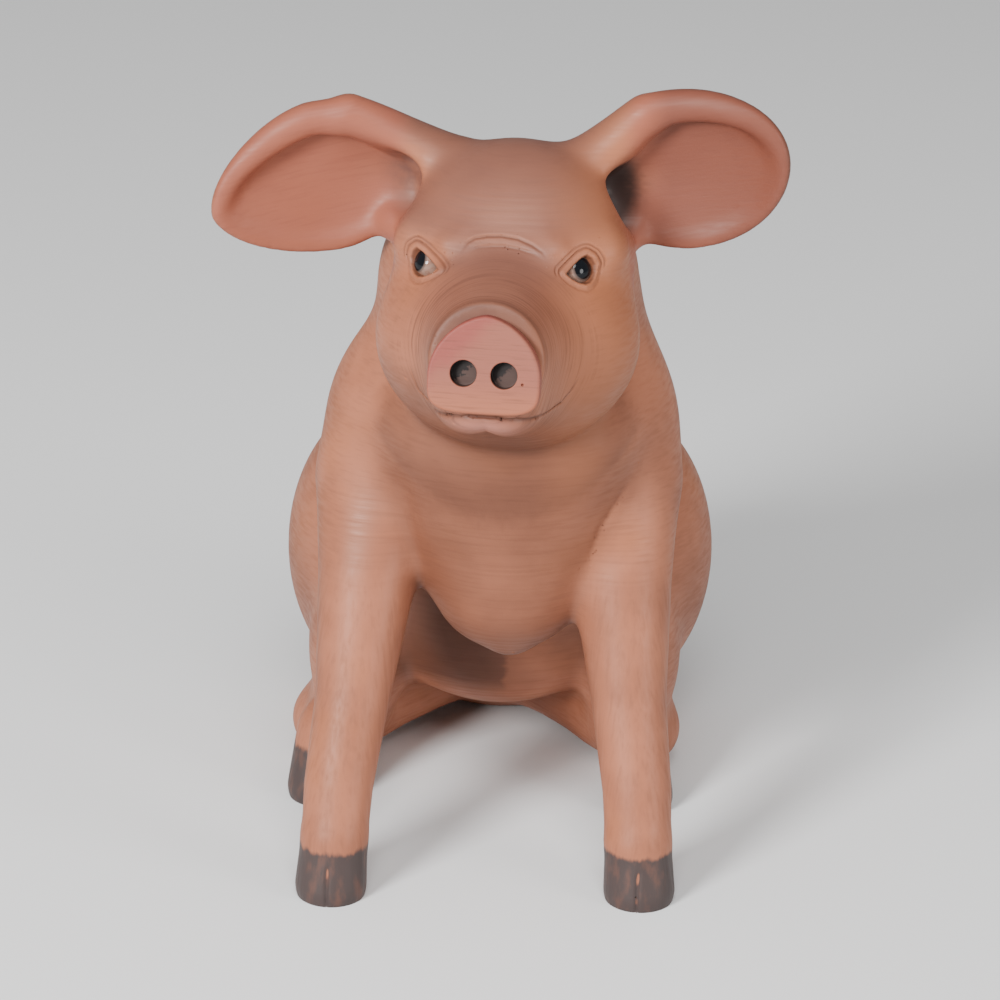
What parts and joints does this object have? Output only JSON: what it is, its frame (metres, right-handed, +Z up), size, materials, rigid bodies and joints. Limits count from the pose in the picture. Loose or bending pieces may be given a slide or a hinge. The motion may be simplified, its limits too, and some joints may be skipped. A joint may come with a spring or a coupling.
{
  "type": "carved pig figure",
  "caption": "Sitting pig carved in wood and painted, with spread ears, a flat snout disc, drilled nostrils, glass eyes and grey hooves.",
  "frame": {"origin": "on the floor, under the middle of the figure's box", "axes": "+Z up, -Y the way the pig faces, +X the pig's left"},
  "size_m": [0.201, 0.3026, 0.2958],
  "materials": {
    "painted_wood": "brushed pink oil paint on carved wood, satin",
    "snout_paint": "paler pink paint on carved wood, satin",
    "hoof_paint": "brushed grey paint on carved wood, satin",
    "eye_glass": "polished dark glass eye"
  },
  "bodies": {
    "root": {"head": "painted_wood", "neck": "painted_wood", "trunk": "painted_wood", "tail": "painted_wood", "ear_right": "painted_wood", "ear_left": "painted_wood", "front_leg_right": "painted_wood", "front_leg_left": "painted_wood", "hind_leg_right": "painted_wood", "hind_leg_left": "painted_wood", "front_hoof_right": "hoof_paint", "front_hoof_left": "hoof_paint", "hind_hoof_right": "hoof_paint", "hind_hoof_left": "hoof_paint", "snout_disc": "snout_paint", "eye_right": "eye_glass", "eye_left": "eye_glass"}
  },
  "joints": []
}
